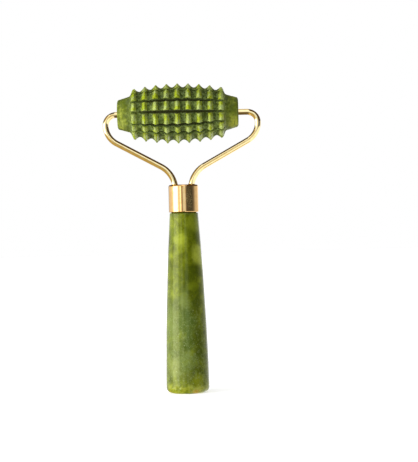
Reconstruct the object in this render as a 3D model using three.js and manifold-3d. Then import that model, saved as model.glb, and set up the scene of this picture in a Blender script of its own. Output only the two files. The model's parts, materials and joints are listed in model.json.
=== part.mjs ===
// Jade face roller: a ridged barrel of stone that spins between the two wire arms of a yoke,
// on a tapered stone handle. Millimetres, +Z up along the handle, +X along the roller's axle.
// The origin is the centre of the handle's flat butt, so the tool stands upright on Z = 0.
import * as THREE from "three";
import { mergeVertices } from "three/addons/utils/BufferGeometryUtils.js";
import Module from "manifold-3d";

const wasm = await Module();
wasm.setup();

// Driving dimensions
const TOTAL_HEIGHT = 105;

const ROLLER_LENGTH = 41;
const ROLLER_TIP_RADIUS = 10.2; // over the teeth, at mid length
const ROLLER_END_TIP_RADIUS = 8.6; // over the teeth of the first and last ring
const ROLLER_SHIFT = -1.2; // the barrel floats on its axle stubs and rests nearer the left arm
const RING_COUNT = 9;
const RING_PITCH = 3.68;
const TOOTH_DEPTH = 1.3; // from crest to the rounded valley between two rings
const CREST_WIDTH = 0.36;
const VALLEY_STEPS = 4;
const VALLEY_EXPONENT = 1.5; // 1 would be a V and 2 half an ellipse
const CONE_ROOT_RADIUS = 6.5; // the plain cone beyond the last ring
const CONE_END_RADIUS = 5.15;
const CONE_START = 16.3; // from mid length
const ROLLER_EDGE_RADIUS = 0.9;
const ROLLER_SEGMENTS = 42;

// The lengthwise slots that split the rings into teeth, in degrees round the barrel from its
// front, upwards. They are cut by eye, so the rows they leave are not all alike.
const SLOT_ANGLES = [0.5, 27, 58, 84, 110, 136, 162, 187, 212, 237, 260, 283, 312, 331.5];
const SLOT_FLOOR_RADIUS = 7.9; // at mid length
const SLOT_FLOOR_DROP = 0.8; // how much deeper the floor is where the cones start
const SLOT_FLOOR_WIDTH = 0.5;
const SLOT_UPPER_MOUTH = 0.62; // from the centre line to the steep wall's crest
const SLOT_LOWER_MOUTH = 1.2; // to the crest of the wall that leans back
const SLOT_STEPS = 6;

const BUSH_LENGTH = 9;
const BUSH_OUTER_RADIUS = 2;
const BUSH_BORE_RADIUS = 1.08; // runs on the stub
const BUSH_FLANGE_RADIUS = 2.8;
const BUSH_FLANGE = 0.5;
const BUSH_CLEARANCE = 0.05; // glue line between the bush and the stone
const BUSH_SEGMENTS = 24;
const BORE_DEPTH = 9.8;

const WIRE_RADIUS = 1;
const WIRE_SIDES = 12;
const WIRE_STEPS = 52;
const YOKE_HALF_WIDTH = 25.9; // to the wire's centre line
const TOP_BEND_RADIUS = 3.6;
const SIDE_BEND_RADIUS = 7;
const ARM_ANGLE = THREE.MathUtils.degToRad(28.8); // of the straight arm, above the horizontal
const NECK_BEND_RADIUS = 9.2;
const LEG_OFFSET = 2.65; // from the handle's axis to a leg's centre line
const STUB_END = 13.2; // the axle stub's inner end, from the handle's axis

const FERRULE_TOP = 70.5;
const FERRULE_HEIGHT = 9.3;
const FERRULE_RADIUS = 5.05;
const FERRULE_WALL = 0.45;
const FERRULE_CROWN = 0.7;
const FERRULE_EDGE_RADIUS = 0.6;
const BRAZE_GAP = 0.3; // all round each leg, where it passes the crown

const STUD_HEAD_RADIUS = 4.3;
const STUD_HEAD_TOP = 69.5;
const STUD_HEAD_HEIGHT = 2.4;
const STUD_RADIUS = 1.5;
const STUD_LENGTH = 17;
const STUD_GROOVE_DEPTH = 0.25;
const STUD_GROOVE_COUNT = 4;
const STUD_GROOVE_FLOOR = 1; // width
const STUD_GROOVE_MOUTH = 1.6;
const STUD_SEGMENTS = 24;
const LEG_END = 67.7;

const HANDLE_BUTT_RADIUS = 7.3;
const HANDLE_SHOULDER_RADIUS = 4.8;
const HANDLE_SHOULDER = 60.9;
const HANDLE_BELLY = 0.38; // how far the side bulges beyond a straight taper
const HANDLE_CORNER_RADIUS = 1.9;
const HANDLE_SEGMENTS = 44;
const TENON_RADIUS = 4.25;
const TENON_TOP = 66.8;
const ANCHOR_BORE_RADIUS = 1.85;
const ANCHOR_BORE_BOTTOM = 49;

const AXLE_HEIGHT = TOTAL_HEIGHT - ROLLER_TIP_RADIUS;

// Materials
const jade = new THREE.MeshStandardMaterial({ color: 0x6f8426, roughness: 0.35, metalness: 0 });
const rollerJade = new THREE.MeshStandardMaterial({ color: 0x7d9230, roughness: 0.5, metalness: 0 });
const gold = new THREE.MeshStandardMaterial({ color: 0xe8bd62, roughness: 0.18, metalness: 1 });
const paleGold = new THREE.MeshStandardMaterial({ color: 0xe9c48a, roughness: 0.15, metalness: 1 });
const brass = new THREE.MeshStandardMaterial({ color: 0xb08d45, roughness: 0.4, metalness: 1 });
const nylon = new THREE.MeshStandardMaterial({ color: 0xe4e0d2, roughness: 0.5, metalness: 0 });

// Geometry helpers
const point = (radius, along) => new THREE.Vector2(radius, along);

// Points of an arc in a lathe profile, both ends included, angles in radians from +radius.
function arcPoints(centre, radius, from, to, steps) {
  return Array.from({ length: steps + 1 }, (_, i) => {
    const angle = from + ((to - from) * i) / steps;
    return point(centre.x + radius * Math.cos(angle), centre.y + radius * Math.sin(angle));
  });
}

// A profile turned about +Z.
function turnedUpright(profile, segments) {
  return new THREE.LatheGeometry(profile, segments).rotateX(Math.PI / 2);
}

// A profile turned about +X.
function turnedAlongX(profile, segments) {
  return new THREE.LatheGeometry(profile, segments).rotateZ(-Math.PI / 2);
}

function toSolid(geometry) {
  const bare = geometry.clone().deleteAttribute("normal").deleteAttribute("uv");
  const merged = mergeVertices(bare, 1e-4);
  return new wasm.Manifold(
    new wasm.Mesh({
      numProp: 3,
      vertProperties: merged.attributes.position.array,
      triVerts: new Uint32Array(merged.index.array),
    }),
  );
}

function toGeometry(solid) {
  const mesh = solid.getMesh();
  const geometry = new THREE.BufferGeometry();
  geometry.setAttribute("position", new THREE.BufferAttribute(mesh.vertProperties, 3));
  geometry.setIndex(new THREE.BufferAttribute(mesh.triVerts, 1));
  geometry.computeVertexNormals();
  return geometry;
}

function cut(geometry, cutters) {
  const solid = cutters.reduce((left, cutter) => left.subtract(toSolid(cutter)), toSolid(geometry));
  return toGeometry(solid);
}

// Wire arms. The centre line runs in the XZ plane from the leg's end, up out of the ferrule,
// out along the straight arm, round the two outer bends and back in along the axle.
class Arc extends THREE.Curve {
  constructor(centreX, centreZ, radius, from, to) {
    super();
    Object.assign(this, { centreX, centreZ, radius, from, to });
  }

  getPoint(t, target = new THREE.Vector3()) {
    const angle = this.from + (this.to - this.from) * t;
    const x = this.centreX + this.radius * Math.cos(angle);
    return target.set(x, 0, this.centreZ + this.radius * Math.sin(angle));
  }
}

function armPath(legEnd) {
  const bendsZ = AXLE_HEIGHT - TOP_BEND_RADIUS;
  const sideX = YOKE_HALF_WIDTH - SIDE_BEND_RADIUS;
  const topX = YOKE_HALF_WIDTH - TOP_BEND_RADIUS;
  const armNormal = ARM_ANGLE - Math.PI / 2; // outwards and down, square to the straight arm
  const armTop = new Arc(sideX, bendsZ, SIDE_BEND_RADIUS, armNormal, 0);
  const neckX = LEG_OFFSET + NECK_BEND_RADIUS;
  // The neck bend touches the straight arm's line, which passes through the arm's top end.
  const top = armTop.getPoint(0);
  const across = (top.x - neckX) * Math.sin(ARM_ANGLE) + NECK_BEND_RADIUS;
  const neckZ = top.z - across / Math.cos(ARM_ANGLE);
  const neck = new Arc(neckX, neckZ, NECK_BEND_RADIUS, Math.PI, Math.PI / 2 + ARM_ANGLE);
  const leg = new THREE.LineCurve3(new THREE.Vector3(LEG_OFFSET, 0, legEnd), neck.getPoint(0));
  const arm = new THREE.LineCurve3(neck.getPoint(1), top);
  const topBend = new Arc(topX, bendsZ, TOP_BEND_RADIUS, 0, Math.PI / 2);
  const stub = new THREE.LineCurve3(topBend.getPoint(1), new THREE.Vector3(STUB_END, 0, AXLE_HEIGHT));
  const path = new THREE.CurvePath();
  [leg, neck, arm, armTop, topBend, stub].forEach((piece) => path.add(piece));
  return path;
}

function wire(radius, legEnd) {
  const section = new THREE.Shape(
    Array.from({ length: WIRE_SIDES }, (_, i) => {
      const angle = (2 * Math.PI * i) / WIRE_SIDES;
      return point(radius * Math.cos(angle), radius * Math.sin(angle));
    }),
  );
  return new THREE.ExtrudeGeometry(section, { steps: WIRE_STEPS, extrudePath: armPath(legEnd) });
}

// The space that the two legs need, with the braze round them.
function legCutters() {
  const right = wire(WIRE_RADIUS + BRAZE_GAP, LEG_END - BRAZE_GAP);
  const left = right.clone().rotateZ(Math.PI);
  return [left, right];
}

// Roller
function tipRadius(along) {
  const span = ((RING_COUNT - 1) / 2) * RING_PITCH;
  const drop = ROLLER_TIP_RADIUS - ROLLER_END_TIP_RADIUS;
  return ROLLER_TIP_RADIUS - drop * (along / span) ** 2;
}

// The rounded valley between the crest that ends at `from` and the one that starts at `to`.
function valleyPoints(from, to) {
  return Array.from({ length: VALLEY_STEPS - 1 }, (_, i) => {
    const t = (i + 1) / VALLEY_STEPS;
    const hollow = (1 - Math.abs(2 * t - 1) ** VALLEY_EXPONENT) ** (1 / VALLEY_EXPONENT);
    const along = THREE.MathUtils.lerp(from, to, t);
    return point(tipRadius(along) - TOOTH_DEPTH * hollow, along);
  });
}

function ringPoints() {
  const points = [];
  const half = (RING_COUNT - 1) / 2;
  for (let ring = -half; ring <= half; ring += 1) {
    const start = ring * RING_PITCH - CREST_WIDTH / 2;
    const end = start + CREST_WIDTH;
    points.push(point(tipRadius(start), start), point(tipRadius(end), end));
    if (ring < half) points.push(...valleyPoints(end, start + RING_PITCH));
  }
  return points;
}

// One end of the barrel, from the blind bore's floor out to the foot of the last tooth,
// for the +X end.
function endPoints() {
  const end = ROLLER_LENGTH / 2;
  const boreRadius = BUSH_OUTER_RADIUS + BUSH_CLEARANCE;
  const seatRadius = BUSH_FLANGE_RADIUS + BUSH_CLEARANCE;
  const seat = end - BUSH_FLANGE - BUSH_CLEARANCE;
  const edge = point(CONE_END_RADIUS - ROLLER_EDGE_RADIUS, end - ROLLER_EDGE_RADIUS);
  return [
    point(0, end - BORE_DEPTH),
    point(boreRadius, end - BORE_DEPTH),
    point(boreRadius, seat),
    point(seatRadius, seat),
    point(seatRadius, end),
    ...arcPoints(edge, ROLLER_EDGE_RADIUS, Math.PI / 2, 0, 3),
    point(CONE_ROOT_RADIUS, CONE_START),
    point(CONE_ROOT_RADIUS + 0.5, CONE_START - 0.5),
  ];
}

// A cutter along X for the slot at `degrees`, open outwards. Its floor curves with the barrel.
function slotCutter(degrees) {
  const reach = ROLLER_TIP_RADIUS + 1;
  const halfFloor = SLOT_FLOOR_WIDTH / 2;
  const spread = (reach - SLOT_FLOOR_RADIUS) / (ROLLER_TIP_RADIUS - SLOT_FLOOR_RADIUS);
  const section = new THREE.Shape([
    point(SLOT_FLOOR_RADIUS, -halfFloor),
    point(reach, -halfFloor - (SLOT_LOWER_MOUTH - halfFloor) * spread),
    point(reach, halfFloor + (SLOT_UPPER_MOUTH - halfFloor) * spread),
    point(SLOT_FLOOR_RADIUS, halfFloor),
  ]);
  const length = 2 * CONE_START;
  const options = { depth: length, steps: SLOT_STEPS, bevelEnabled: false };
  const cutter = new THREE.ExtrudeGeometry(section, options);
  cutter.translate(0, 0, -length / 2);
  const corners = cutter.attributes.position;
  for (let i = 0; i < corners.count; i += 1) {
    if (corners.getX(i) < reach - 0.1) {
      const drop = SLOT_FLOOR_DROP * (corners.getZ(i) / CONE_START) ** 2;
      corners.setX(i, SLOT_FLOOR_RADIUS - drop);
    }
  }
  // Section (x outwards, y sideways, extruded along z) to barrel axes: outwards is -Y, along is X.
  const basis = new THREE.Matrix4().makeBasis(
    new THREE.Vector3(0, -1, 0),
    new THREE.Vector3(0, 0, 1),
    new THREE.Vector3(-1, 0, 0),
  );
  return cutter.applyMatrix4(basis).rotateX(THREE.MathUtils.degToRad(-degrees));
}

function rollerGeometry() {
  const farEnd = endPoints();
  const nearEnd = farEnd.map((p) => point(p.x, -p.y));
  const profile = [...nearEnd, ...ringPoints(), ...farEnd.reverse()];
  return cut(turnedAlongX(profile, ROLLER_SEGMENTS), SLOT_ANGLES.map(slotCutter));
}

// Flanged sleeve for the +X end of the roller, measured from the roller's mid length.
function bushGeometry() {
  const end = ROLLER_LENGTH / 2;
  const flangeBack = end - BUSH_FLANGE;
  const profile = [
    point(BUSH_BORE_RADIUS, end - BUSH_LENGTH),
    point(BUSH_OUTER_RADIUS, end - BUSH_LENGTH),
    point(BUSH_OUTER_RADIUS, flangeBack),
    point(BUSH_FLANGE_RADIUS, flangeBack),
    point(BUSH_FLANGE_RADIUS, end),
    point(BUSH_BORE_RADIUS, end),
    point(BUSH_BORE_RADIUS, end - BUSH_LENGTH),
  ];
  return turnedAlongX(profile, BUSH_SEGMENTS);
}

// Ferrule: a drawn cap, closed at the top but for the two leg holes.
function ferruleGeometry() {
  const bottom = FERRULE_TOP - FERRULE_HEIGHT;
  const inner = FERRULE_RADIUS - FERRULE_WALL;
  const edge = point(FERRULE_RADIUS - FERRULE_EDGE_RADIUS, FERRULE_TOP - FERRULE_EDGE_RADIUS);
  const profile = [
    point(0, FERRULE_TOP - FERRULE_CROWN),
    point(inner, FERRULE_TOP - FERRULE_CROWN),
    point(inner, bottom),
    point(FERRULE_RADIUS, bottom),
    ...arcPoints(edge, FERRULE_EDGE_RADIUS, 0, Math.PI / 2, 4),
    point(0, FERRULE_TOP),
  ];
  return cut(turnedUpright(profile, HANDLE_SEGMENTS), legCutters());
}

// Anchor stud: a disc that holds both legs under the crown, and a grooved pin glued in the handle.
function studGeometry() {
  const headBottom = STUD_HEAD_TOP - STUD_HEAD_HEIGHT;
  const bottom = headBottom - STUD_LENGTH;
  const groovePitch = STUD_LENGTH / (STUD_GROOVE_COUNT + 1);
  const profile = [point(0, bottom), point(STUD_RADIUS, bottom)];
  for (let i = 1; i <= STUD_GROOVE_COUNT; i += 1) {
    const along = bottom + i * groovePitch;
    const inner = STUD_RADIUS - STUD_GROOVE_DEPTH;
    profile.push(
      point(STUD_RADIUS, along - STUD_GROOVE_MOUTH / 2),
      point(inner, along - STUD_GROOVE_FLOOR / 2),
      point(inner, along + STUD_GROOVE_FLOOR / 2),
      point(STUD_RADIUS, along + STUD_GROOVE_MOUTH / 2),
    );
  }
  profile.push(
    point(STUD_RADIUS, headBottom),
    point(STUD_HEAD_RADIUS, headBottom),
    point(STUD_HEAD_RADIUS, STUD_HEAD_TOP),
    point(0, STUD_HEAD_TOP),
  );
  return cut(turnedUpright(profile, STUD_SEGMENTS), legCutters());
}

// Handle: the side is one long arc between the butt's corner and the shoulder.
function handleSidePoints() {
  const start = point(HANDLE_BUTT_RADIUS, HANDLE_CORNER_RADIUS + 1);
  const end = point(HANDLE_SHOULDER_RADIUS, HANDLE_SHOULDER);
  const steps = 8;
  return Array.from({ length: steps + 1 }, (_, i) => {
    const t = i / steps;
    const bulge = 4 * HANDLE_BELLY * t * (1 - t);
    return point(
      THREE.MathUtils.lerp(start.x, end.x, t) + bulge,
      THREE.MathUtils.lerp(start.y, end.y, t),
    );
  });
}

function handleGeometry() {
  const corner = point(HANDLE_BUTT_RADIUS - HANDLE_CORNER_RADIUS, HANDLE_CORNER_RADIUS);
  const profile = [
    point(0, 0),
    ...arcPoints(corner, HANDLE_CORNER_RADIUS, -Math.PI / 2, 0, 5),
    ...handleSidePoints(),
    point(TENON_RADIUS, HANDLE_SHOULDER),
    point(TENON_RADIUS, TENON_TOP),
    point(ANCHOR_BORE_RADIUS, TENON_TOP),
    point(ANCHOR_BORE_RADIUS, ANCHOR_BORE_BOTTOM),
    point(0, ANCHOR_BORE_BOTTOM),
  ];
  return turnedUpright(profile, HANDLE_SEGMENTS);
}

// Assembly
function part(name, geometry, material) {
  const mesh = new THREE.Mesh(geometry, material);
  mesh.name = name;
  return mesh;
}

const faceRoller = new THREE.Group();

const handle = part("handle", handleGeometry(), jade);
const ferrule = part("ferrule", ferruleGeometry(), paleGold);
const anchorStud = part("anchor_stud", studGeometry(), brass);
const rightArm = part("right_arm", wire(WIRE_RADIUS, LEG_END), gold);
const leftArm = part("left_arm", wire(WIRE_RADIUS, LEG_END), gold);
leftArm.rotation.z = Math.PI;
faceRoller.add(handle, ferrule, anchorStud, leftArm, rightArm);

const rollerGroup = new THREE.Group();
rollerGroup.position.set(ROLLER_SHIFT, 0, AXLE_HEIGHT);
const rightBush = part("right_bush", bushGeometry(), nylon);
const leftBush = part("left_bush", bushGeometry(), nylon);
leftBush.rotation.z = Math.PI;
rollerGroup.add(part("roller", rollerGeometry(), rollerJade), leftBush, rightBush);
faceRoller.add(rollerGroup);

export default faceRoller;
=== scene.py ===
"""Looks for the jade face roller: fine meshes and procedural materials round the CAD frame.

The tool stands on Z = 0 with its handle along +Z and the roller's axle along +X, and the camera
looks along +Y. Lengths are in metres unless a comment says otherwise, and MM turns a size in
millimetres into metres. "Along" is a place on the axis that a profile is turned about.
"""

import json
import math

import bmesh
import bpy
from mathutils import Matrix, Vector, noise


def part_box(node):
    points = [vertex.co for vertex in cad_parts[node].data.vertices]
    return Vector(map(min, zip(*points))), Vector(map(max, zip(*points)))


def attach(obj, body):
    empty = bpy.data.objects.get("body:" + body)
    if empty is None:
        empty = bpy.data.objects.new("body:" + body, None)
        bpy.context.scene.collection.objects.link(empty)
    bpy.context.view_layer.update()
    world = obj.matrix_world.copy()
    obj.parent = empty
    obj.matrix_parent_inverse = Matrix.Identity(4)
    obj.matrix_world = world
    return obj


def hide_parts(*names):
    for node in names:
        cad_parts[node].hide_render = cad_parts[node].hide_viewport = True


MM = 0.001

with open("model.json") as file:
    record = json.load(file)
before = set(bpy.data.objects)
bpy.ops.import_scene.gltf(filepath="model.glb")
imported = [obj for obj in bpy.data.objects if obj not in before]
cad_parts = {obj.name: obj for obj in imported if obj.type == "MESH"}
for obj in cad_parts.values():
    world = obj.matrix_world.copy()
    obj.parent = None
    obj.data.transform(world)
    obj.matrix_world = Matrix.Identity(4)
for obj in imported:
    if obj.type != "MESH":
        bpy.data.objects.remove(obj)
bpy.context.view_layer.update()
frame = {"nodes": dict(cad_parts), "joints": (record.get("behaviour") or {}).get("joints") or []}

# Sizes read from the frame
AXLE = Vector(frame["joints"][0]["pos_m"])
HANDLE_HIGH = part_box("handle")[1]
FERRULE_LOW, FERRULE_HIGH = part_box("ferrule")
ROLLER_LOW, ROLLER_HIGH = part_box("roller")
ARM_LOW, ARM_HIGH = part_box("right_arm")
BUSH_LOW, BUSH_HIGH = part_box("right_bush")

HANDLE_BUTT_RADIUS = HANDLE_HIGH.x
FERRULE_RADIUS = FERRULE_HIGH.x
WIRE_RADIUS = ARM_HIGH.y
YOKE_HALF_WIDTH = ARM_HIGH.x - WIRE_RADIUS
ROLLER_CENTRE_X = (ROLLER_LOW.x + ROLLER_HIGH.x) / 2
ROLLER_HALF_LENGTH = (ROLLER_HIGH.x - ROLLER_LOW.x) / 2
ROLLER_TIP_RADIUS = ROLLER_HIGH.z - AXLE.z

# Handle: sizes that its box doesn't give
HANDLE_SHOULDER = 60.9 * MM
HANDLE_SHOULDER_RADIUS = 4.8 * MM
HANDLE_BELLY = 0.38 * MM
HANDLE_CORNER_RADIUS = 1.9 * MM
TENON_RADIUS = 4.25 * MM
ANCHOR_BORE_RADIUS = 1.85 * MM
ANCHOR_BORE_BOTTOM = 49 * MM
# How far the side wavers and ripples, and how deep the butt's edge is chipped
WAVER = 0.05 * MM
RIPPLE = 0.015 * MM
CHIP_DEPTH = 0.32 * MM

# Ferrule
FERRULE_WALL = 0.45 * MM
FERRULE_CROWN = 0.7 * MM
FERRULE_EDGE_RADIUS = 0.6 * MM
FERRULE_RIM_RADIUS = 0.22 * MM
# Centre and radii, in millimetres, of the patch where its plate is pitted
FERRULE_PITS = ((2.2, -4.6, 65.8), (1.5, 3.0, 4.6))

# Arms: two bent wires, and the fillet of braze round each leg
STUB_END_X = 13.2 * MM
WIRE_SIDES = 32
TOP_BEND_RADIUS = 3.6 * MM
SIDE_BEND_RADIUS = 7 * MM
ARM_ANGLE = math.radians(28.8)
NECK_BEND_RADIUS = 9.2 * MM
LEG_OFFSET = 2.65 * MM
BRAZE_FOOT = 0.32 * MM
BRAZE_RISE = 0.32 * MM
BRAZE_OVERLAP = 0.2 * MM
BRAZE_SHIFT = 0.15 * MM
BRAZE_LUMPS = 0.12 * MM

# Roller: nine ridges between two plain cones, and the seats of the bushes
RING_COUNT = 9
RING_PITCH = 3.68 * MM
RIDGE_SPAN = (RING_COUNT - 1) / 2 * RING_PITCH
RING_END_DROP = 1.6 * MM
TOOTH_DEPTH = 1.3 * MM
CREST_WIDTH = 0.44 * MM
VALLEY_EXPONENT = 1.68
SHOULDER_FOOT = Vector((16.2 * MM, 6.15 * MM))
SHOULDER_FILLET = 1.1 * MM
CONE_END_RADIUS = 5.15 * MM
ROLLER_EDGE_RADIUS = 0.9 * MM
BORE_DEPTH = 9.8 * MM
BORE_RADIUS = 2.05 * MM
SEAT_RADIUS = 2.85 * MM
SEAT_DEPTH = 0.55 * MM
# How rough the stone is, how far crests are worn down or stand uneven, how much fuller a tooth is
# at its lower end, and how far a slot's walls waver
COARSE_GRAIN = 0.03 * MM
FINE_GRAIN = 0.02 * MM
CREST_WEAR = 0.26 * MM
CREST_UNEVEN = 0.13 * MM
LOWER_FULLNESS = 0.3 * MM
SLOT_WAVER = 0.1 * MM
# How high a plain surface counts as standing, where 0 is a valley's floor and 1 a ridge's crest
PLAIN_LIFT = 0.3

# Bushes
BUSH_RADIUS = 2 * MM
BUSH_FLANGE_RADIUS = 2.8 * MM
BUSH_FLANGE = 0.5 * MM
BUSH_BORE_RADIUS = 1.08 * MM
BUSH_BEVEL = 0.12 * MM

# Slots along the barrel, across its ridges, one row each: degrees round the barrel from its front,
# upwards, then how many degrees it climbs from the barrel's middle to its right end, and how many
# it bows at both ends
SLOTS = [
    (0.5, -0.6, -1.2),
    (27, -1.0, 0.4),
    (58, 1.0, -1.5),
    (84, -1.2, 0.8),
    (110, 0.8, -0.6),
    (136, -0.8, 1.0),
    (162, 1.4, 0.4),
    (187, -0.6, -1.0),
    (212, 1.0, 0.6),
    (237, -1.4, 0.8),
    (260, 0.6, -0.8),
    (283, 1.0, 0.6),
    (312, 0.4, -0.4),
    (331.5, 2.4, 3.0),
]
SLOT_FLOOR_RADIUS = 7.9 * MM
SLOT_FLOOR_DROP = 0.8 * MM
SLOT_FLOOR_HALF_WIDTH = 0.25 * MM
# How far each wall leans back, as a share of its height
UPPER_WALL_FLARE = 0.163
LOWER_WALL_FLARE = 0.42

# Columns of the roller's mesh below and above each slot's centre line, in degrees, and how many
# follow over the row of teeth
COLUMNS_BELOW = (-8.4, -7.6, -6.8, -6.0, -5.2, -4.4, -3.6, -2.8, -2.2, -1.8, -0.9)
COLUMNS_ABOVE = (0, 0.9, 1.7, 2.0, 2.3, 2.6, 2.9, 3.2, 3.5, 3.9)
TOOTH_COLUMNS = 5

# Camera: its place, the height of its view at the tool, and its turn about its own axis
CAMERA_X = 8.39 * MM
CAMERA_HEIGHT = 54.6 * MM
CAMERA_DISTANCE = 500 * MM
VIEW_HEIGHT = 157.1 * MM
CAMERA_LEAN = math.radians(1.4)


# Mesh helpers
def new_object(name, vertices, faces, smooth=True):
    """A mesh object whose faces all point out."""
    mesh = bpy.data.meshes.new(name)
    mesh.from_pydata(vertices, [], faces)
    work = bmesh.new()
    work.from_mesh(mesh)
    bmesh.ops.recalc_face_normals(work, faces=work.faces)
    work.to_mesh(mesh)
    work.free()
    mesh.polygons.foreach_set("use_smooth", [smooth] * len(mesh.polygons))
    obj = bpy.data.objects.new(name, mesh)
    bpy.context.scene.collection.objects.link(obj)
    return obj


def skin(name, rings, ends="poles"):
    """A closed surface over rings of points, each ring closed on itself.

    With ends="poles" the first and last rings are single points, on the axis. With ends="caps"
    they are flat faces, and with ends="joined" the last ring joins the first.
    """
    vertices = []
    starts = []
    for ring in rings:
        starts.append(len(vertices))
        vertices.extend(ring)
    pairs = list(zip(range(len(rings) - 1), range(1, len(rings))))
    if ends == "joined":
        pairs.append((len(rings) - 1, 0))
    faces = []
    for a, b in pairs:
        faces.extend(band(starts[a], len(rings[a]), starts[b], len(rings[b])))
    if ends == "caps":
        for index in (0, len(rings) - 1):
            start = starts[index]
            faces.append(tuple(range(start, start + len(rings[index]))))
    return new_object(name, vertices, faces)


def band(start_a, count_a, start_b, count_b):
    """Faces between two rings of vertices, either of which can be a single point."""
    count = max(count_a, count_b)
    faces = []
    for i in range(count):
        j = (i + 1) % count
        if count_a == 1:
            faces.append((start_a, start_b + i, start_b + j))
        elif count_b == 1:
            faces.append((start_a + i, start_b, start_a + j))
        else:
            faces.append((start_a + i, start_b + i, start_b + j, start_a + j))
    return faces


def arc(centre, radius, start, end, steps):
    """Points of an arc as (radius, along) pairs, both ends included, angles in radians."""
    angles = [start + (end - start) * i / steps for i in range(steps + 1)]
    return [
        (centre[0] + radius * math.cos(angle), centre[1] + radius * math.sin(angle))
        for angle in angles
    ]


def refine(profile, step):
    """The profile with points added, so that no two are further apart than step."""
    points = [profile[0]]
    for before, after in zip(profile, profile[1:]):
        count = math.ceil(math.dist(before, after) / step - 1e-6)
        for i in range(1, count + 1):
            t = i / count
            points.append(tuple(p + (q - p) * t for p, q in zip(before, after)))
    return points


def turned(name, profile, segments, axis="Z", centre=(0, 0, 0), ends="poles"):
    """A (radius, along) profile turned about an axis through centre."""
    rings = []
    for radius, along in profile:
        count = 1 if radius < 1e-9 else segments
        ring = []
        for i in range(count):
            angle = 2 * math.pi * i / segments
            across = (radius * math.cos(angle), radius * math.sin(angle))
            point = (across[0], across[1], along) if axis == "Z" else (along, *across)
            ring.append(tuple(p + c for p, c in zip(point, centre)))
        rings.append(ring)
    return skin(name, rings, ends)


def smoothstep(low, high, value):
    """A smooth step from 0 to 1 as value goes from low to high, which may be the larger first."""
    t = min(1, max(0, (value - low) / (high - low)))
    return t * t * (3 - 2 * t)


# Material helpers
class Nodes:
    """A small builder for one node tree."""

    def __init__(self, tree):
        self.tree = tree
        tree.nodes.clear()

    def add(self, kind, inputs=None, **settings):
        """A new node, with its settings, and its inputs fed by name or number."""
        node = self.tree.nodes.new(kind)
        for key, value in settings.items():
            setattr(node, key, value)
        for key, value in (inputs or {}).items():
            self.feed(node.inputs[key], value)
        return node

    def feed(self, socket, value):
        """Link the value to the socket, or set it there if it is a constant."""
        if isinstance(value, bpy.types.NodeSocket):
            self.tree.links.new(value, socket)
        else:
            socket.default_value = value

    def math(self, operation, *values):
        node = self.add("ShaderNodeMath", operation=operation)
        for socket, value in zip(node.inputs, values):
            self.feed(socket, value)
        return node.outputs[0]

    def product(self, first, *others):
        result = first
        for value in others:
            result = self.math("MULTIPLY", result, value)
        return result

    def between(self, value, low, high, to_low=0.0, to_high=1.0):
        """A smooth step from to_low to to_high as value goes from low to high."""
        node = self.add(
            "ShaderNodeMapRange",
            {"Value": value, "From Min": low, "From Max": high, "To Min": to_low, "To Max": to_high},
            interpolation_type="SMOOTHSTEP",
        )
        return node.outputs["Result"]

    def mix(self, factor, a, b, blend="MIX"):
        node = self.add("ShaderNodeMix", data_type="RGBA", blend_type=blend)
        for socket, value in zip((node.inputs[0], node.inputs[6], node.inputs[7]), (factor, a, b)):
            self.feed(socket, value)
        return node.outputs[2]

    def tint(self, colour, mask, strength, code):
        """The colour with another over it where the mask is, at most at that strength."""
        return self.mix(self.product(mask, strength), colour, rgb(code))

    def ramp(self, value, stops):
        """A colour that goes in straight lines through (position, colour) stops."""
        node = self.add("ShaderNodeValToRGB", {"Fac": value})
        node.color_ramp.interpolation = "LINEAR"
        elements = node.color_ramp.elements
        while len(elements) < len(stops):
            elements.new(0.5)
        for element, (position, colour) in zip(elements, stops):
            element.position = position
            element.color = colour
        return node.outputs["Color"]

    def millimetres(self, stretch=(1, 1, 1)):
        """Object coordinates in millimetres, so that noise scales are cells per millimetre."""
        place = self.add("ShaderNodeTexCoord").outputs["Object"]
        scale = [s / MM for s in stretch]
        return self.add("ShaderNodeMapping", {"Vector": place, "Scale": scale}).outputs[0]

    def axis(self, place, name):
        return self.add("ShaderNodeSeparateXYZ", {"Vector": place}).outputs[name]

    def attribute(self, name):
        return self.add("ShaderNodeAttribute", attribute_name=name).outputs["Fac"]

    def noise(self, place, scale, detail=3.0, roughness=0.55, distortion=0.0):
        node = self.add(
            "ShaderNodeTexNoise",
            {
                "Vector": place,
                "Scale": scale,
                "Detail": detail,
                "Roughness": roughness,
                "Distortion": distortion,
            },
        )
        return node.outputs["Fac"]

    def shifted(self, place, offset):
        return self.add("ShaderNodeVectorMath", {0: place, 1: offset}, operation="ADD").outputs[0]


def rgb(code):
    """A linear colour from a #rrggbb display colour."""
    channels = [int(code[i : i + 2], 16) / 255 for i in (1, 3, 5)]
    linear = [c / 12.92 if c <= 0.04045 else ((c + 0.055) / 1.055) ** 2.4 for c in channels]
    return (*linear, 1.0)


def grey(value):
    return (value, value, value, 1.0)


def new_material(name):
    material = bpy.data.materials.new(name)
    material.use_nodes = True
    return material, Nodes(material.node_tree)


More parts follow.
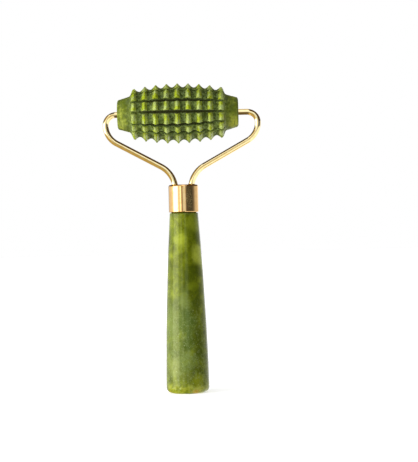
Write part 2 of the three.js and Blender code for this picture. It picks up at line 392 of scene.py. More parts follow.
# Jade
def jade_clouds(nodes, seed, dark, middle, light, contrast):
    """Mottled green stone: soft clouds, finer mottling, pale wisps and dark specks.

    seed shifts its noises, and contrast is how strong the finer detail is. Gives the colour and
    the shifted place.
    """
    place = nodes.shifted(nodes.millimetres(), seed)
    clouds = nodes.noise(place, 0.16, detail=4, roughness=0.55, distortion=0.4)
    colour = nodes.ramp(clouds, [(0.34, dark), (0.5, middle), (0.68, light)])
    mottle = nodes.noise(place, 0.55, detail=6, roughness=0.7, distortion=0.5)
    shade = nodes.between(mottle, 0.35, 0.65, 0.12, 0.88)
    colour = nodes.mix(contrast, colour, shade, "OVERLAY")
    veins = nodes.noise(place, 0.9, detail=5, roughness=0.75, distortion=1.5)
    wisps = nodes.between(veins, 0.54, 0.7)
    colour = nodes.tint(colour, wisps, 0.3, "#8a9a3e")
    specks = nodes.noise(nodes.shifted(place, (31, 7, 3)), 1.9, detail=2)
    pepper = nodes.between(specks, 0.6, 0.7)
    return nodes.mix(nodes.product(pepper, contrast), colour, dark), place


def patch(nodes, place, warp, centre, radii, hardness=0.5):
    """A soft ellipsoid mask, 1 near the centre and 0 outside, with a ragged edge.

    place, centre and radii are in millimetres. warp is a noise that moves the edge, and hardness
    runs from 0, fading all the way from the centre, towards 1, a sharp edge.
    """
    ragged = 1.1
    outside = 1 + ragged / 2
    softest = 1.4
    away = nodes.shifted(place, tuple(-c for c in centre))
    scaled = nodes.add("ShaderNodeVectorMath", {0: away, 1: radii}, operation="DIVIDE")
    length = nodes.add("ShaderNodeVectorMath", {0: scaled.outputs[0]}, operation="LENGTH")
    distance = nodes.math("ADD", length.outputs["Value"], nodes.product(warp, ragged))
    return nodes.between(distance, outside, outside - (1 - hardness) * softest)


def stone_shader(nodes, colour, height, roughness, bump, blue_gloss):
    """Slightly translucent waxed stone, whose reflections keep only part of their blue."""
    normal = nodes.add("ShaderNodeBump", {"Height": height, "Strength": bump, "Distance": 0.05 * MM})
    shader = nodes.add(
        "ShaderNodeBsdfPrincipled",
        {
            "Base Color": colour,
            "Roughness": roughness,
            "IOR": 1.4,
            "Specular Tint": (1.0, 1.0, blue_gloss, 1.0),
            "Subsurface Weight": 0.1,
            "Subsurface Radius": (1.0, 1.2, 0.3),
            "Subsurface Scale": 0.8 * MM,
            "Normal": normal.outputs[0],
        },
    )
    nodes.add("ShaderNodeOutputMaterial", {"Surface": shader.outputs[0]})


# Clouds of the handle's stone at its front, and a ring of painted shade just under the ferrule,
# each laid over the last: centre and radii in millimetres, colour, and how strongly it covers
HANDLE_PATCHES = [
    ((-2.8, -5.0, 21.0), (9.0, 9.0, 24.0), "#55652f", 0.6),
    ((3.6, -3.5, 57.0), (4.2, 4.5, 5.4), "#7c871e", 0.8),
    ((4.4, -3.0, 46.8), (3.4, 4.5, 4.8), "#a3ad3a", 0.85),
    ((-3.9, -3.4, 54.6), (2.2, 4.0, 2.4), "#4d5a02", 0.8),
    ((1.6, -5.0, 54.4), (2.6, 4.0, 2.2), "#4a5606", 0.65),
    ((4.2, -3.6, 52.6), (3.4, 4.5, 3.0), "#434f00", 0.8),
    ((-1.3, -5.0, 51.6), (3.0, 4.0, 3.0), "#97a22c", 0.75),
    # A ring of painted shade round the handle just under the ferrule
    ((0.0, 0.0, 60.9), (7.0, 7.0, 1.5), "#56623a", 0.8),
    ((3.0, -5.2, 40.4), (4.4, 5.0, 4.6), "#3a4603", 0.85),
    ((2.8, -5.6, 36.2), (3.4, 4.0, 2.2), "#69750c", 0.7),
    ((3.4, -5.0, 31.6), (3.2, 5.0, 5.0), "#3f4b04", 0.85),
    ((-0.4, -6.0, 31.2), (2.8, 4.0, 3.6), "#76843f", 0.6),
    ((0.4, -6.5, 23.6), (4.8, 5.0, 6.6), "#4b5e20", 0.8),
    ((4.2, -5.5, 17.5), (2.6, 4.5, 8.0), "#434f04", 0.85),
    ((0.4, -6.8, 16.8), (4.2, 4.0, 3.2), "#42540e", 0.75),
    ((0.0, -7.0, 11.4), (4.8, 4.0, 4.4), "#68783a", 0.6),
    ((-4.8, -4.5, 24.0), (3.0, 5.0, 9.0), "#64722c", 0.75),
    ((-4.5, -5.5, 9.0), (3.0, 4.0, 5.0), "#848d46", 0.7),
    ((0.0, -7.0, 5.8), (3.6, 4.0, 2.2), "#5b6420", 0.7),
    ((4.0, -5.6, 4.6), (3.4, 4.5, 3.0), "#7f8718", 0.85),
    ((0.2, -6.4, 1.6), (3.4, 4.0, 2.4), "#6c7510", 0.7),
    ((3.8, -5.2, 1.6), (3.4, 4.5, 1.8), "#a3a93c", 0.85),
    ((2.6, -5.6, 0.8), (1.8, 4.0, 1.0), "#b0701c", 0.9),
]


def handle_jade():
    """Polished jade with its clouds, painted shade under the ferrule, specks low down and butt stains.
    """
    material, nodes = new_material("handle_jade")
    dark, middle, light = rgb("#465000"), rgb("#5c6604"), rgb("#7a8416")
    colour, place = jade_clouds(nodes, (3.1, 8.4, 1.7), dark, middle, light, 0.36)
    here = nodes.millimetres()
    height = nodes.axis(here, "Z")
    colour = handle_clouds_and_shade(nodes, colour, here, place)
    colour = lower_specks(nodes, colour, place, height)
    colour = butt_stains(nodes, colour, place, height)
    roughness = nodes.between(nodes.noise(place, 0.9, detail=4), 0.3, 0.7, 0.07, 0.16)
    grain = nodes.noise(place, 3.5, detail=4, roughness=0.6)
    stone_shader(nodes, colour, grain, roughness, bump=0.06, blue_gloss=0.6)
    return material


def handle_clouds_and_shade(nodes, colour, here, place):
    """The handle's own clouds and a ring of painted shade under the ferrule, broken by fine streaks.
    """
    warp = nodes.noise(here, 0.3, detail=5, roughness=0.6)
    fine = nodes.noise(place, 0.9, detail=4, roughness=0.7)
    streaks = nodes.between(fine, 0.25, 0.6, 0.5, 1.0)
    for centre, radii, code, strength in HANDLE_PATCHES:
        mask = patch(nodes, here, warp, centre, radii)
        colour = nodes.tint(colour, nodes.product(mask, streaks), strength, code)
    return colour


def lower_specks(nodes, colour, place, height):
    """Pale specks and a pale haze in the handle's lower half. height is in millimetres."""
    lower = nodes.between(height, 36.0, 24.0)
    speck = nodes.between(nodes.noise(place, 2.3, detail=2, roughness=0.6), 0.62, 0.72)
    colour = nodes.tint(colour, nodes.product(speck, lower), 0.5, "#a9b382")
    mist = nodes.noise(nodes.shifted(place, (2, 13, 8)), 1.2, detail=4, roughness=0.7)
    haze = nodes.between(mist, 0.48, 0.62)
    return nodes.tint(colour, nodes.product(haze, lower), 0.24, "#8b9a5e")


def butt_stains(nodes, colour, place, height):
    """Yellow and rust stains near the butt's edge. height is in millimetres."""
    stain = nodes.between(nodes.noise(place, 0.5, detail=5, roughness=0.7), 0.35, 0.6)
    near_butt = nodes.between(height, 4.6, 1.2)
    colour = nodes.tint(colour, nodes.product(near_butt, stain), 0.6, "#a2a62e")
    rust = nodes.between(nodes.noise(nodes.shifted(place, (5, 17, 2)), 0.8, detail=4), 0.58, 0.68)
    at_edge = nodes.between(height, 2.6, 0.6)
    return nodes.tint(colour, nodes.product(at_edge, rust), 0.6, "#8c6a1e")


# The same for the roller, whose clouds show on its plain cones
ROLLER_PATCHES = [
    ((-17.2, -4.5, 92.0), (1.4, 5.0, 7.0), "#3d4a12", 0.8),
    ((-20.6, -4.0, 94.6), (1.2, 4.0, 2.8), "#a3ab4a", 0.6),
    ((-19.0, -3.6, 98.8), (2.8, 4.0, 2.6), "#4c5a14", 0.8),
    ((-20.0, -4.2, 91.0), (2.4, 4.0, 3.0), "#969f40", 0.75),
    ((17.2, -4.0, 95.5), (2.0, 4.0, 3.4), "#3c4a14", 0.8),
    ((19.4, -4.0, 94.5), (2.4, 5.0, 4.5), "#4c5204", 0.85),
    ((14.8, -7.0, 92.2), (3.4, 4.0, 1.8), "#5a5a0c", 0.9),
    ((18.2, -4.2, 90.4), (3.8, 4.0, 3.4), "#a6a834", 0.9),
]


def roller_jade():
    """Streaky jade, painted shade in valleys and slots, crests pale from wear and painted highlight.
    """
    material, nodes = new_material("roller_jade")
    dark, middle, light = rgb("#3c4502"), rgb("#555f0a"), rgb("#727d18")
    colour, place = jade_clouds(nodes, (14.0, 2.2, 6.5), dark, middle, light, 0.6)
    here = nodes.millimetres()
    across = nodes.math("SUBTRACT", nodes.axis(here, "X"), ROLLER_CENTRE_X / MM)
    from_middle = nodes.math("ABSOLUTE", across)
    lift = nodes.attribute("lift")
    streak_place = nodes.shifted(place, (40, 3, 9))
    streak = nodes.noise(streak_place, 0.8, detail=5, roughness=0.7, distortion=0.8)

    colour = nodes.tint(colour, nodes.between(streak, 0.5, 0.4), 0.8, "#2c3a08")
    colour = nodes.tint(colour, nodes.between(streak, 0.52, 0.6), 0.7, "#99a23c")
    warp = nodes.noise(here, 0.5, detail=5, roughness=0.65)
    for centre, radii, code, strength in ROLLER_PATCHES:
        colour = nodes.tint(colour, patch(nodes, here, warp, centre, radii), strength, code)
    colour = cone_grain_and_root_shade(nodes, colour, from_middle)
    colour = valley_and_slot_shade(nodes, colour, place, from_middle, streak, lift)
    colour = worn_and_lit_crests(nodes, colour, place, lift)
    # The worn crests are the polished part.
    roughness = nodes.between(lift, 0.15, 0.7, 0.6, 0.2)
    grain = nodes.noise(place, 4.0, detail=5, roughness=0.65)
    stone_shader(nodes, colour, grain, roughness, bump=0.25, blue_gloss=0.2)
    return material


def cone_grain_and_root_shade(nodes, colour, from_middle):
    """Fine dark marks round the plain cones, and painted shade where they meet the ridges.

    from_middle is the distance from the roller's middle along its axle, in millimetres.
    """
    round_grain = nodes.noise(nodes.millimetres((2.2, 0.45, 0.45)), 1.0, detail=5, roughness=0.7)
    on_cone = nodes.between(from_middle, 15.6, 16.6)
    fine = nodes.between(round_grain, 0.46, 0.58)
    colour = nodes.tint(colour, nodes.product(fine, on_cone), 0.6, "#3f4f12")
    # Painted shade in the concave root where each cone meets the ridges.
    root_shade = nodes.between(from_middle, 18.0, 16.4)
    return nodes.tint(colour, nodes.product(on_cone, root_shade), 0.5, "#2c3b14")


def valley_and_slot_shade(nodes, colour, place, from_middle, streak, lift):
    """Painted shade in the valleys, flecked with pale dust, and deeper painted shade in the slots."""
    # The valleys' dark colour is painted shade, with pale dust flecks laid over it.
    valley_shade_and_dust = nodes.mix(nodes.between(streak, 0.44, 0.56), rgb("#1d2e10"), rgb("#506436"))
    dust = nodes.between(nodes.noise(nodes.shifted(place, (9, 21, 4)), 1.1, detail=3), 0.47, 0.68)
    valley_shade_and_dust = nodes.tint(valley_shade_and_dust, dust, 0.5, "#7c8e62")
    off_cone = nodes.between(from_middle, 18.4, 16.4, 0.3, 1.0)
    valley = nodes.product(nodes.between(lift, 0.45, 0.12), off_cone)
    colour = nodes.mix(nodes.product(valley, 0.8), colour, valley_shade_and_dust)
    # Near-black painted shade in the slots.
    return nodes.tint(colour, nodes.between(lift, 0.0, -0.5), 0.95, "#0b150a")


def worn_and_lit_crests(nodes, colour, place, lift):
    """Crests pale partly from wear and partly from a painted highlight, strongest at each tooth's
    lower end.
    """
    pale = nodes.mix(nodes.between(nodes.noise(place, 0.45), 0.4, 0.6), rgb("#9cad1a"), rgb("#a8b870"))
    # The crests' pale colour is partly wear and partly a painted highlight.
    crest_wear_and_highlight = nodes.between(lift, 0.24, 0.5)
    patchy = nodes.between(nodes.noise(place, 0.8, detail=4), 0.25, 0.7, 0.6, 1.0)
    # A painted highlight at the lower end of each tooth, as if lit from below.
    lower_end_highlight = nodes.between(nodes.attribute("tooth_place"), 0.95, 0.35, 0.45, 1.0)
    return nodes.mix(nodes.product(crest_wear_and_highlight, patchy, lower_end_highlight, 0.85), colour, pale)


# Metal and plastic
def gilt(name, light, dark, base_roughness, pits=None):
    """Polished gold plate with slight tone changes and small dull spots.

    pits is the centre and radii, in millimetres, of a patch where the plate is finely pitted.
    """
    material, nodes = new_material(name)
    place = nodes.millimetres()
    tone = nodes.noise(place, 0.8, detail=4, roughness=0.6)
    colour = nodes.mix(nodes.between(tone, 0.35, 0.7), light, dark)
    dull = nodes.between(nodes.noise(place, 2.2, detail=3), 0.6, 0.75)
    roughness = nodes.math("ADD", nodes.product(dull, 0.1), base_roughness)
    height = nodes.product(nodes.noise(place, 0.6, detail=3), 0.1)
    if pits:
        mask = patch(nodes, place, nodes.noise(place, 0.5), *pits, hardness=0.7)
        pitting = nodes.product(nodes.noise(place, 4.0, detail=3, roughness=0.7), mask)
        height = nodes.math("ADD", height, nodes.product(pitting, 0.055))
        roughness = nodes.math("ADD", roughness, nodes.between(pitting, 0.42, 0.58, 0.0, 0.18))
        colour = nodes.tint(colour, mask, 0.6, "#b9a86c")
    normal = nodes.add("ShaderNodeBump", {"Height": height, "Strength": 1.0, "Distance": 0.09 * MM})
    shader = nodes.add(
        "ShaderNodeBsdfPrincipled",
        {"Base Color": colour, "Metallic": 1.0, "Roughness": roughness, "Normal": normal.outputs[0]},
    )
    nodes.add("ShaderNodeOutputMaterial", {"Surface": shader.outputs[0]})
    return material


def nylon():
    """Slightly mottled moulded plastic."""
    material, nodes = new_material("bush_nylon")
    tone = nodes.noise(nodes.millimetres(), 1.5, detail=3)
    colour = nodes.mix(tone, rgb("#cfcab8"), rgb("#e6e2d4"))
    normal = nodes.add("ShaderNodeBump", {"Height": tone, "Strength": 0.2, "Distance": 0.03 * MM})
    shader = nodes.add(
        "ShaderNodeBsdfPrincipled",
        {"Base Color": colour, "Roughness": 0.45, "Normal": normal.outputs[0]},
    )
    nodes.add("ShaderNodeOutputMaterial", {"Surface": shader.outputs[0]})
    return material


# Handle
def handle_profile():
    """(radius, along) from the butt's centre up the side, over the tenon and down the bore."""
    corner = (HANDLE_BUTT_RADIUS - HANDLE_CORNER_RADIUS, HANDLE_CORNER_RADIUS)
    side_steps = 24
    side_start = HANDLE_CORNER_RADIUS + 1 * MM
    side = []
    for i in range(side_steps + 1):
        t = i / side_steps
        radius = HANDLE_BUTT_RADIUS + (HANDLE_SHOULDER_RADIUS - HANDLE_BUTT_RADIUS) * t
        along = side_start + (HANDLE_SHOULDER - side_start) * t
        side.append((radius + 4 * HANDLE_BELLY * t * (1 - t), along))
    return [
        (0, 0),
        *arc(corner, HANDLE_CORNER_RADIUS, -math.pi / 2, 0, steps=14),
        *side,
        (TENON_RADIUS, HANDLE_SHOULDER),
        (TENON_RADIUS, HANDLE_HIGH.z),
        (ANCHOR_BORE_RADIUS, HANDLE_HIGH.z),
        (ANCHOR_BORE_RADIUS, ANCHOR_BORE_BOTTOM),
        (0, ANCHOR_BORE_BOTTOM),
    ]


def make_handle():
    """The tapered handle with its tenon, bored for the anchor stud."""
    handle = turned("handle_stone", refine(handle_profile(), step=0.35 * MM), segments=144)
    for vertex in handle.data.vertices:
        place = vertex.co / MM
        out = Vector((place.x, place.y, 0))
        inside = out.length < TENON_RADIUS / MM + 0.01 and place.z > 1
        on_axis = out.length < 0.01
        on_ground = place.z < 0.02
        if not (inside or on_axis or on_ground):
            vertex.co += out.normalized() * hand_ground(place, out.length)
    return handle


def hand_ground(place, radius):
    """How far the surface stands out at a place, in metres. place and radius are in millimetres.

    The side is ground by hand, so it isn't perfectly round, and the butt's edge is chipped.
    """
    wave = WAVER * noise.noise(place * 0.12) + RIPPLE * noise.noise(place * 0.9)
    edge = smoothstep(3.2, 0.6, place.z) * smoothstep(4.2, 6.4, radius)
    chips = smoothstep(0.12, 0.5, noise.noise(place * 0.75 + Vector((4, 9, 0)))) * edge
    return wave - CHIP_DEPTH * chips


# Roller
def tip_radius(along):
    """The radius of the crests, which follow a barrel's curve. along is from its middle."""
    return ROLLER_TIP_RADIUS - RING_END_DROP * (along / RIDGE_SPAN) ** 2


def valley_depth(t):
    """How far the valley is below the crest line, t from 0 to 1 across the valley."""
    side = abs(2 * t - 1) ** VALLEY_EXPONENT
    return TOOTH_DEPTH * max(0, 1 - side) ** (1 / VALLEY_EXPONENT)


def ring_rows():
    """(radius, along) pairs over the nine ridges, from the left one to the right one."""
    crest_steps = 3
    valley_steps = 16
    edge_rounding = 0.03 * MM
    half = (RING_COUNT - 1) // 2
    rows = []
    for ring in range(-half, half + 1):
        start = ring * RING_PITCH - CREST_WIDTH / 2
        for i in range(crest_steps + 1):
            along = start + CREST_WIDTH * i / crest_steps
            rounding = edge_rounding if i in (0, crest_steps) else 0
            rows.append((tip_radius(along) - rounding, along))
        if ring < half:
            for i in range(1, valley_steps):
                # Closer together near the crests, where the flanks are steep.
                t = 0.5 - 0.5 * math.cos(math.pi * i / valley_steps)
                along = start + CREST_WIDTH + (RING_PITCH - CREST_WIDTH) * t
                rows.append((tip_radius(along) - valley_depth(t), along))
    return rows


def fillet(before, corner, after, radius, steps):
    """Points of an arc that rounds the inner corner between two straight lines."""
    u = (Vector(before) - Vector(corner)).normalized()
    v = (Vector(after) - Vector(corner)).normalized()
    half_angle = math.acos(u.dot(v)) / 2
    centre = Vector(corner) + (u + v).normalized() * (radius / math.sin(half_angle))
    reach = radius / math.tan(half_angle)
    first = Vector(corner) + u * reach - centre
    last = Vector(corner) + v * reach - centre
    start = math.atan2(first.y, first.x)
    sweep = math.atan2(last.y, last.x) - start
    sweep = (sweep + math.pi) % (2 * math.pi) - math.pi
    return arc(centre, radius, start, start + sweep, steps)


def end_rows():
    """(radius, along) pairs from the last ridge's flank out and in to the bore's floor, +X end."""
    end = ROLLER_HALF_LENGTH
    # The last ridge's outer flank is straight, from just below its crest.
    flank = (tip_radius(RIDGE_SPAN) - 0.2 * MM, RIDGE_SPAN + CREST_WIDTH)
    foot = (SHOULDER_FOOT.y, SHOULDER_FOOT.x)
    edge = (CONE_END_RADIUS - ROLLER_EDGE_RADIUS, end - ROLLER_EDGE_RADIUS)
    cone_end = (CONE_END_RADIUS, end - ROLLER_EDGE_RADIUS)
    outside = [
        flank,
        *fillet(flank, foot, cone_end, SHOULDER_FILLET, steps=8),
        *arc(edge, ROLLER_EDGE_RADIUS, 0, math.pi / 2, steps=8),
        (SEAT_RADIUS, end),
        (SEAT_RADIUS, end - SEAT_DEPTH),
        (BORE_RADIUS, end - SEAT_DEPTH),
    ]
    inside = [(BORE_RADIUS, end - BORE_DEPTH), (0, end - BORE_DEPTH)]
    return refine(outside, step=0.3 * MM) + inside


def slot_centre(slot, along):
    """The slot's angle at that place along the barrel, in radians."""
    angle, climb, bow = slot
    share = along / ROLLER_HALF_LENGTH
    return math.radians(angle + climb * share + bow * share * share)


def slot_radius(offset, along):
    """The radius of the slot's floor or wall at that angle from its centre line.

    The wall below the centre line leans back further than the one above it.
    """
    floor = SLOT_FLOOR_RADIUS - SLOT_FLOOR_DROP * (along / SHOULDER_FOOT.x) ** 2
    sideways = math.sin(abs(offset))
    upright = math.cos(offset)
    if floor * math.tan(abs(offset)) <= SLOT_FLOOR_HALF_WIDTH:
        return floor / upright
    flare = UPPER_WALL_FLARE if offset > 0 else LOWER_WALL_FLARE
    slope = sideways - flare * upright
    if slope >= -1e-6:
        return math.inf
    return (SLOT_FLOOR_HALF_WIDTH - floor * flare) / slope


def column_angles(along):
    """Each column's angle, its offset from the nearest slot's centre and its place on its tooth.

    The offset is infinite in the middle of a tooth, away from both slots. The place runs from 0
    at the tooth's lower end to 1 at its upper end.
    """
    below = [math.radians(a) for a in COLUMNS_BELOW]
    above = [math.radians(a) for a in COLUMNS_ABOVE]
    columns = []
    for slot, following in zip(SLOTS, SLOTS[1:] + SLOTS[:1]):
        centre = slot_centre(slot, along)
        after = slot_centre(following, along)
        if after < centre:
            after += 2 * math.pi
        span = after - centre
        for offset in above:
            columns.append((centre + offset, offset, offset / span))
        start = centre + above[-1]
        end = after + below[0]
        for i in range(1, TOOTH_COLUMNS + 1):
            angle = start + (end - start) * i / (TOOTH_COLUMNS + 1)
            columns.append((angle, math.inf, (angle - centre) / span))
        for offset in below:
            columns.append((after + offset, offset, 1 + offset / span))
    return columns


def ground_radius(radius, kind, along, column):
    """The stone's radius at one place, and its lift, which is how high it stands on its tooth.

    The lift is 0 on the floor of a valley, 1 on a crest, and below 0 in a slot.
    """
    angle, offset, place_on_tooth = column
    place = Vector((along, radius * math.cos(angle), radius * math.sin(angle))) / MM
    rough = COARSE_GRAIN * noise.noise(place * 1.1) + FINE_GRAIN * noise.noise(place * 2.7)
    if kind == "cone":
        return radius + rough, PLAIN_LIFT
    tip = tip_radius(along)
    lift = 1 - (tip - radius) / TOOTH_DEPTH
    wear = CREST_WEAR * smoothstep(0.1, 0.55, noise.noise(place * 0.85 + Vector((8, 3, 5))))
    uneven = CREST_UNEVEN * noise.noise(Vector((place.x * 0.27, angle * 2.1, 3.0)))
    on_flank = math.sin(math.pi * min(1, max(0, lift)))
    fuller = LOWER_FULLNESS * (1 - place_on_tooth) ** 3 * on_flank
    radius += rough + fuller + (uneven - wear) * smoothstep(0.4, 1.0, lift)
    if offset < math.inf:
        wall = slot_radius(offset, along) + SLOT_WAVER * noise.noise(place * 1.3)
        radius = min(radius, wall)
    lift = 1 - (tip - radius) / TOOTH_DEPTH
    if kind == "shoulder":
        fade = smoothstep(SHOULDER_FOOT.x - 1.3 * MM, SHOULDER_FOOT.x - 0.3 * MM, abs(along))
        lift += (PLAIN_LIFT - lift) * fade
    return radius, lift


def row_kind(radius, along):
    """What a row of the end's profile is part of, which decides how it is ground."""
    if radius <= SEAT_RADIUS + 1e-9:
        return "bore"
    return "shoulder" if abs(along) < SHOULDER_FOOT.x else "cone"


def make_roller():
    """The barrel, whose vertices keep their lift and their place on their tooth for the colours."""
    right = end_rows()
    left = [(radius, -along) for radius, along in reversed(right)]
    rows = [(*row, row_kind(*row)) for row in left]
    rows += [(*row, "ridge") for row in ring_rows()]
    rows += [(*row, row_kind(*row)) for row in right]
    rings, lifts, places = [], [], []
    for radius, along, kind in rows:
        if radius < 1e-9:
            rings.append([(ROLLER_CENTRE_X + along, AXLE.y, AXLE.z)])
            lifts.append(0.0)
            places.append(0.5)
            continue
        ring = []
        for column in column_angles(along):
            angle, _, place_on_tooth = column
            if kind == "bore":
                ground, lift = radius, 0.0
            else:
                ground, lift = ground_radius(radius, kind, along, column)
            # Angles run from the front, towards the camera, upwards.
            y = AXLE.y - ground * math.cos(angle)
            z = AXLE.z + ground * math.sin(angle)
            ring.append((ROLLER_CENTRE_X + along, y, z))
            lifts.append(lift)
            places.append(0.5 if kind == "cone" else place_on_tooth)
        rings.append(ring)
    roller = skin("roller_stone", rings)
    for name, values in (("lift", lifts), ("tooth_place", places)):
        attribute = roller.data.attributes.new(name, "FLOAT", "POINT")
        attribute.data.foreach_set("value", values)
    return roller


# Bushes
def make_bush(name, side):
    """A flanged sleeve. side is 1 for the roller's right end and -1 for its left."""
    end = ROLLER_HALF_LENGTH
    start = end - (BUSH_HIGH.x - BUSH_LOW.x)
    profile = [
        (BUSH_BORE_RADIUS, start),
        (BUSH_RADIUS - BUSH_BEVEL, start),
        (BUSH_RADIUS, start + BUSH_BEVEL),
        (BUSH_RADIUS, end - BUSH_FLANGE),
        (BUSH_FLANGE_RADIUS, end - BUSH_FLANGE),
        (BUSH_FLANGE_RADIUS, end - BUSH_BEVEL),
        (BUSH_FLANGE_RADIUS - BUSH_BEVEL, end),
        (BUSH_BORE_RADIUS + BUSH_BEVEL, end),
        (BUSH_BORE_RADIUS, end - BUSH_BEVEL),
    ]
    centre = (ROLLER_CENTRE_X, AXLE.y, AXLE.z)
    mirrored = [(radius, side * along) for radius, along in profile]
    return turned(name, mirrored, segments=64, axis="X", centre=centre, ends="joined")


# Ferrule
def make_ferrule():
    """A drawn cap, open below, with a rounded crown and a rounded rim."""
    bottom, top = FERRULE_LOW.z, FERRULE_HIGH.z
    inner = FERRULE_RADIUS - FERRULE_WALL
    edge = (FERRULE_RADIUS - FERRULE_EDGE_RADIUS, top - FERRULE_EDGE_RADIUS)
    rim = (FERRULE_RADIUS - FERRULE_RIM_RADIUS, bottom + FERRULE_RIM_RADIUS)
    profile = [
        (0, top - FERRULE_CROWN),
        (inner, top - FERRULE_CROWN),
        (inner, bottom),
        *arc(rim, FERRULE_RIM_RADIUS, -math.pi / 2, 0, steps=8),
        *arc(edge, FERRULE_EDGE_RADIUS, 0, math.pi / 2, steps=10),
        (0, top),
    ]
    return turned("ferrule_cap", refine(profile, step=0.5 * MM), segments=128)


# Wire arms
def arm_path():
    """Points of the wire's centre line in the XZ plane, from leg to axle stub, +X side."""
    bends_z = AXLE.z - TOP_BEND_RADIUS
    side_x = YOKE_HALF_WIDTH - SIDE_BEND_RADIUS
    top_x = YOKE_HALF_WIDTH - TOP_BEND_RADIUS
    neck_x = LEG_OFFSET + NECK_BEND_RADIUS
    normal = ARM_ANGLE - math.pi / 2
    straight_x = side_x + SIDE_BEND_RADIUS * math.cos(normal)
    straight_z = bends_z + SIDE_BEND_RADIUS * math.sin(normal)
    across = (straight_x - neck_x) * math.sin(ARM_ANGLE) + NECK_BEND_RADIUS
    neck_z = straight_z - across / math.cos(ARM_ANGLE)
    neck_end = math.pi / 2 + ARM_ANGLE
    path = [
        (LEG_OFFSET, ARM_LOW.z),
        *arc((neck_x, neck_z), NECK_BEND_RADIUS, math.pi, neck_end, steps=24),
        *arc((side_x, bends_z), SIDE_BEND_RADIUS, normal, 0, steps=28),
        *arc((top_x, bends_z), TOP_BEND_RADIUS, 0, math.pi / 2, steps=24),
        (STUB_END_X, AXLE.z),
    ]
    return refine(path, step=0.8 * MM)


def make_arm(name, side):
    """A bent round wire. side is 1 for the right arm and -1 for the left."""
    path = [Vector((side * x, 0, z)) for x, z in arm_path()]
    rings = []
    last = len(path) - 1
    for i, point in enumerate(path):
        along = (path[min(i + 1, last)] - path[max(i - 1, 0)]).normalized()
        across = Vector((0, 1, 0))
        third = along.cross(across)
        ring = []
        for k in range(WIRE_SIDES):
            angle = 2 * math.pi * k / WIRE_SIDES
            spoke = across * math.cos(angle) + third * math.sin(angle)
            ring.append(tuple(point + spoke * WIRE_RADIUS))
        rings.append(ring)
    return skin(name, rings, ends="caps")


def make_braze(name, side):
    """The uneven fillet of braze round a leg where it leaves the crown.

    It starts inside the wire and below the crown, so that no gap shows.
    """
    top = FERRULE_HIGH.z
    leg_x = side * (LEG_OFFSET + BRAZE_SHIFT)
    inner = WIRE_RADIUS * 0.8
    curve_steps = 6
    profile = [(inner, top - BRAZE_OVERLAP), (WIRE_RADIUS + BRAZE_FOOT, top - BRAZE_OVERLAP)]
    for i in range(curve_steps + 1):
        t = i / curve_steps
        radius = WIRE_RADIUS + BRAZE_FOOT * (1 - t)
        profile.append((radius, top + BRAZE_RISE * t**2.2 + 0.02 * MM))
    profile.append((inner, top + BRAZE_RISE))
    braze = turned(name, profile, segments=48, centre=(leg_x, 0, 0), ends="joined")
    for vertex in braze.data.vertices:
        place = vertex.co / MM
        above_crown = smoothstep(top / MM - 0.1, top / MM + 0.1, place.z)
        out = Vector((place.x - leg_x / MM, place.y, 0))
        vertex.co += out.normalized() * BRAZE_LUMPS * noise.noise(place * 0.9) * above_crown
    return braze


# Studio
def make_floor():
    """A pale floor that the camera sees, and that takes no part in lighting the tool."""
    half = 3.0
    corners = [(-half, -half, 0), (half, -half, 0), (half, half, 0), (-half, half, 0)]
    floor = new_object("floor", corners, [(0, 1, 2, 3)], smooth=False)
    material, nodes = new_material("floor_white")
    shader = nodes.add(
        "ShaderNodeBsdfPrincipled",
        {
            "Base Color": grey(0.75),
            "Roughness": 0.9,
            "Emission Color": grey(1.0),
            "Emission Strength": 0.5,
        },
    )
    nodes.add("ShaderNodeOutputMaterial", {"Surface": shader.outputs[0]})
    floor.data.materials.append(material)
    # The studio dome lights the object from below too, as if the floor weren't there.
    floor.visible_glossy = False
    floor.visible_diffuse = False
    floor.visible_shadow = False


# Light round the tool: degrees from the camera's side to the right, or to the left below 0, and
# how bright it is there, with straight lines between
ROUND_LIGHT = [
    (-180, 0.85),
    (-172, 0.5),
    (-160, 0.4),
    (-148, 0.85),
    (-122, 1.0),
    (-104, 1.15),
    (-88, 1.5),
    (-82, 5.0),
    (-48, 5.0),
    (-41, 1.1),
    (-30, 1.1),
    (-27, 2.0),
    (-18, 2.0),
    (-16, 0.45),
    (-7, 0.4),
    (-3, 1.0),
    (13, 1.1),
    (19, 0.3),
    (28, 0.12),
    (72, 0.1),
    (88, 0.25),
    (101, 0.65),
    (112, 0.8),
    (136, 0.85),
    (147, 1.35),
    (157, 1.35),
    (169, 0.85),
    (180, 0.85),
]

# Colours of the cards that only polished surfaces mirror
WHITE = (1.3, 1.35, 1.45, 1.0)
COOL = (0.92, 1.08, 1.25, 1.0)
WARM = (0.56, 0.42, 0.17, 1.0)
DARK = (0.1, 0.07, 0.04, 1.0)
PALE = (1.3, 1.3, 1.3, 1.0)
# The cards, each painted over the last: the ranges of the direction's x, y and z that it fills
CARDS = [
    ((-0.05, 0.25), (-1, 0), (-0.3, 0.3), COOL),
    ((-1, 1), (-1, 1), (0.24, 1), WHITE),
    ((-0.3, -0.12), (-1, 0), (0.2, 0.5), WARM),
    ((-1, -0.54), (-1, 1), (0.34, 1), WARM),
    ((0.44, 1), (-1, 1), (0.14, 0.9), DARK),
    ((0.16, 0.5), (-1, 1), (0.62, 1), DARK),
    ((-0.5, -0.16), (-1, 1), (0.78, 1), DARK),
    ((-1, 1), (0.05, 1), (0.2, 1), DARK),
    ((-0.12, 0.12), (0.05, 1), (0.2, 1), WARM),
    ((-1, 0), (-1, 1), (-1, -0.24), WARM),
    ((0, 1), (-1, 1), (-1, -0.1), PALE),
    ((-0.15, 0), (-1, 0), (0.06, 0.24), WARM),
    ((0, 0.18), (-1, 0), (-0.34, -0.06), WARM),
    ((0.4, 0.6), (-0.3, 0.2), (-0.92, -0.8), WARM),
    ((-0.12, 0.12), (-1, 1), (-1, -0.33), DARK),
]


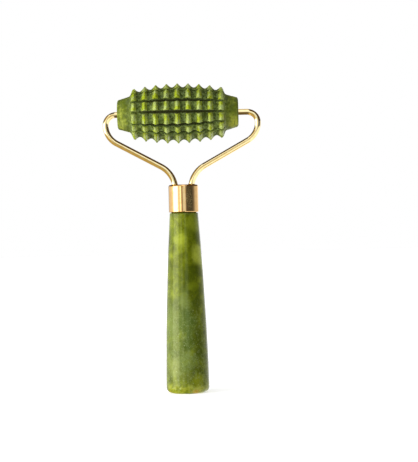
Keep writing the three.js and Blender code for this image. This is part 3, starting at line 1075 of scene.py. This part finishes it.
def make_world():
    """A white dome with a tall softbox at the left, a dark flag at the right and pale cards behind.

    The camera sees plain white, polished surfaces mirror the cards as well, and matt ones get a
    softer light.
    """
    world = bpy.data.worlds.new("studio")
    bpy.context.scene.world = world
    world.use_nodes = True
    nodes = Nodes(world.node_tree)
    direction = nodes.add("ShaderNodeTexCoord").outputs["Generated"]
    axes = nodes.add("ShaderNodeSeparateXYZ", {"Vector": direction}).outputs
    strength = round_light(nodes, axes)
    mirrored = mirrored_cards(nodes, axes, strength)
    soft = soft_light(nodes, axes, strength)
    path = nodes.add("ShaderNodeLightPath")
    light = nodes.mix(path.outputs["Is Glossy Ray"], soft, mirrored)
    shown = nodes.mix(path.outputs["Is Camera Ray"], light, grey(1.0))
    background = nodes.add("ShaderNodeBackground", {"Color": shown, "Strength": 1.0})
    nodes.add("ShaderNodeOutputWorld", {"Surface": background.outputs[0]})


def round_light(nodes, axes):
    """The brightness in each direction round the tool, from ROUND_LIGHT."""
    turn = nodes.math("ARCTAN2", axes["X"], nodes.product(axes["Y"], -1.0))
    share = nodes.math("ADD", nodes.math("DIVIDE", turn, 2 * math.pi), 0.5)
    # A ramp's colours are kept at 1 or less, so it holds shares of the brightest light.
    brightest = max(brightness for _, brightness in ROUND_LIGHT)
    stops = [
        ((degrees + 180) / 360, grey(brightness / brightest)) for degrees, brightness in ROUND_LIGHT
    ]
    return nodes.product(nodes.ramp(share, stops), brightest)


def mirrored_cards(nodes, axes, strength):
    """The light with the cards over it."""
    edge_softness = 0.03
    mirrored = strength
    for x_range, y_range, z_range, colour in CARDS:
        mask = 1.0
        for axis, (low, high) in zip("XYZ", (x_range, y_range, z_range)):
            for edge, side in ((low, edge_softness), (high, -edge_softness)):
                # An edge at -1 or 1 is the end of the range, and needs no mask.
                if abs(edge) < 1:
                    inside = nodes.between(axes[axis], edge - side, edge + side)
                    mask = nodes.product(mask, inside)
        mirrored = nodes.mix(mask, mirrored, colour)
    return mirrored


def soft_light(nodes, axes, strength):
    """What lights matt surfaces: the round light, evened above, with fills at right and below."""
    above = nodes.between(axes["Z"], 0.5, 0.9)
    soft = nodes.mix(above, strength, grey(0.6))
    right = nodes.between(axes["X"], 0.3, 0.9, 0.0, 0.45)
    fill = nodes.add("ShaderNodeCombineXYZ", {"X": right, "Y": right, "Z": right}).outputs[0]
    soft = nodes.mix(1.0, soft, fill, "ADD")
    below = nodes.between(axes["Z"], -0.4, -0.9)
    return nodes.mix(below, soft, grey(1.0))


def make_camera():
    """A camera that is level, square to the yoke, and turned a little about its own axis."""
    data = bpy.data.cameras.new("camera")
    camera = bpy.data.objects.new("camera", data)
    bpy.context.scene.collection.objects.link(camera)
    bpy.context.scene.camera = camera
    right = Vector((math.cos(CAMERA_LEAN), 0, -math.sin(CAMERA_LEAN)))
    up = Vector((math.sin(CAMERA_LEAN), 0, math.cos(CAMERA_LEAN)))
    back = Vector((0, -1, 0))
    turn = Matrix((right, up, back)).transposed().to_4x4()
    place = Matrix.Translation((CAMERA_X, -CAMERA_DISTANCE, CAMERA_HEIGHT))
    camera.matrix_world = place @ turn
    # The sensor's size is that of the picture's longer side, its height.
    data.sensor_width = 36
    data.lens = data.sensor_width * CAMERA_DISTANCE / VIEW_HEIGHT
    data.clip_start = 0.01
    data.clip_end = 50


# Assembly
def add_piece(piece, body, node, material):
    """Give the piece its material and body, and hide the CAD node that it stands for, if any."""
    piece.data.materials.append(material)
    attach(piece, body)
    if node:
        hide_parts(node)


stone_handle = handle_jade()
stone_roller = roller_jade()
rose_gilt = gilt("gilt_ferrule", rgb("#eec385"), rgb("#e6b772"), 0.05, FERRULE_PITS)
wire_gilt = gilt("gilt_wire", rgb("#f6e2ac"), rgb("#efd79a"), 0.03)
braze_gilt = gilt("gilt_braze", rgb("#dcab5c"), rgb("#a87a3a"), 0.22)
stud_brass = gilt("stud_brass", rgb("#b9924e"), rgb("#8f6c35"), 0.35)
white_nylon = nylon()

add_piece(make_handle(), "frame", "handle", stone_handle)
add_piece(make_ferrule(), "frame", "ferrule", rose_gilt)
for side, name in ((1, "right"), (-1, "left")):
    add_piece(make_arm(f"{name}_wire", side), "frame", f"{name}_arm", wire_gilt)
    add_piece(make_braze(f"{name}_braze", side), "frame", None, braze_gilt)
    sleeve = make_bush(f"{name}_sleeve", side)
    add_piece(sleeve, "roller", f"{name}_bush", white_nylon)
barrel = make_roller()
# The wires mirror the studio and not the stone beside them.
barrel.visible_glossy = False
add_piece(barrel, "roller", "roller", stone_roller)

stud = frame["nodes"]["anchor_stud"]
stud.data.materials.clear()
stud.data.materials.append(stud_brass)

make_floor()
make_world()
make_camera()
bpy.context.scene.view_settings.view_transform = "Standard"
